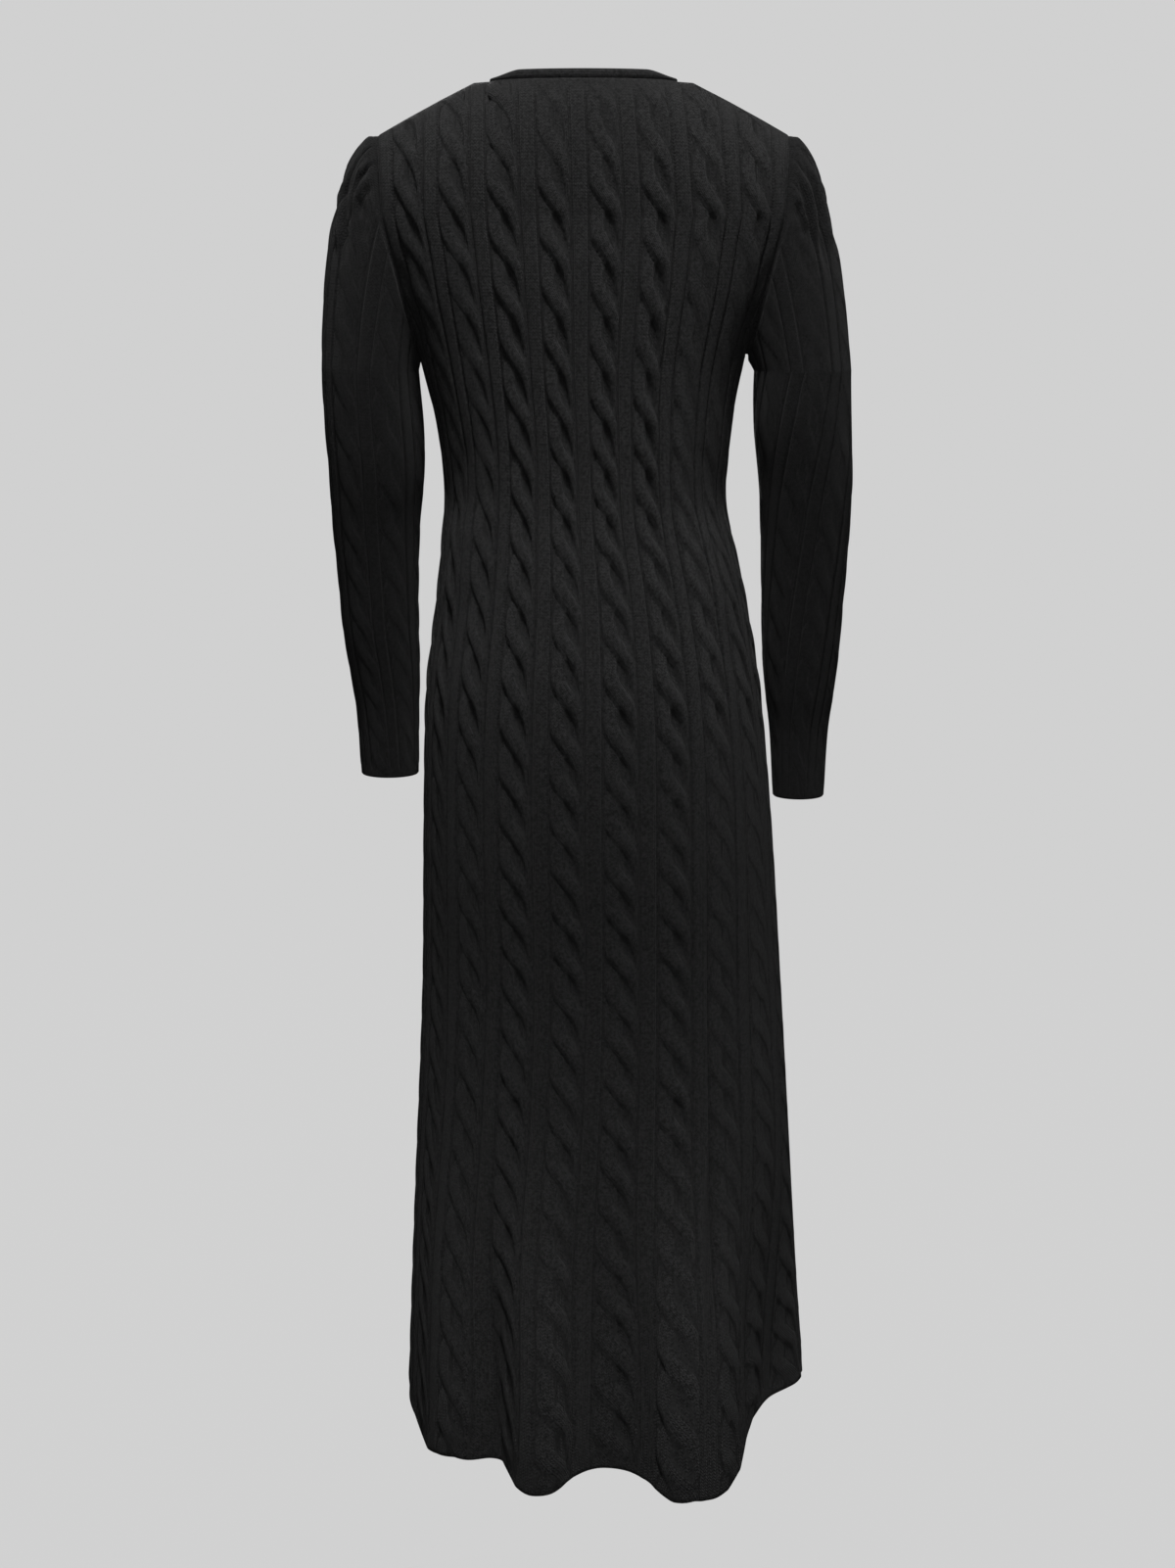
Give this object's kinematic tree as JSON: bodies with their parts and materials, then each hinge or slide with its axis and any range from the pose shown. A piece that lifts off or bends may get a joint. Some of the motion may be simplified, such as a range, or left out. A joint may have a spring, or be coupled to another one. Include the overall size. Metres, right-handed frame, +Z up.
{
  "type": "sweater dress",
  "caption": "Long-sleeved ankle-length knitted dress with crossed cables all over, fitted at the waist, with a rolled neckband and a hem that flares into soft folds, shown as worn.",
  "frame": {"origin": "middle of the neck opening between the side-neck points of the shoulder line, where the wearer's shoulders hold the dress up", "axes": "+Z up the wearer's body, +Y out of the wearer's back, +X towards the wearer's left"},
  "size_m": [0.4711, 0.4189, 1.206],
  "materials": {
    "knit": "matte heathered wool knit, slightly fuzzy",
    "neckband": "matte plain knit, rolled"
  },
  "bodies": {
    "root": {"back_panel": "knit", "front_panel": "knit", "sleeve_left": "knit", "sleeve_right": "knit", "neckband": "neckband"}
  },
  "joints": []
}
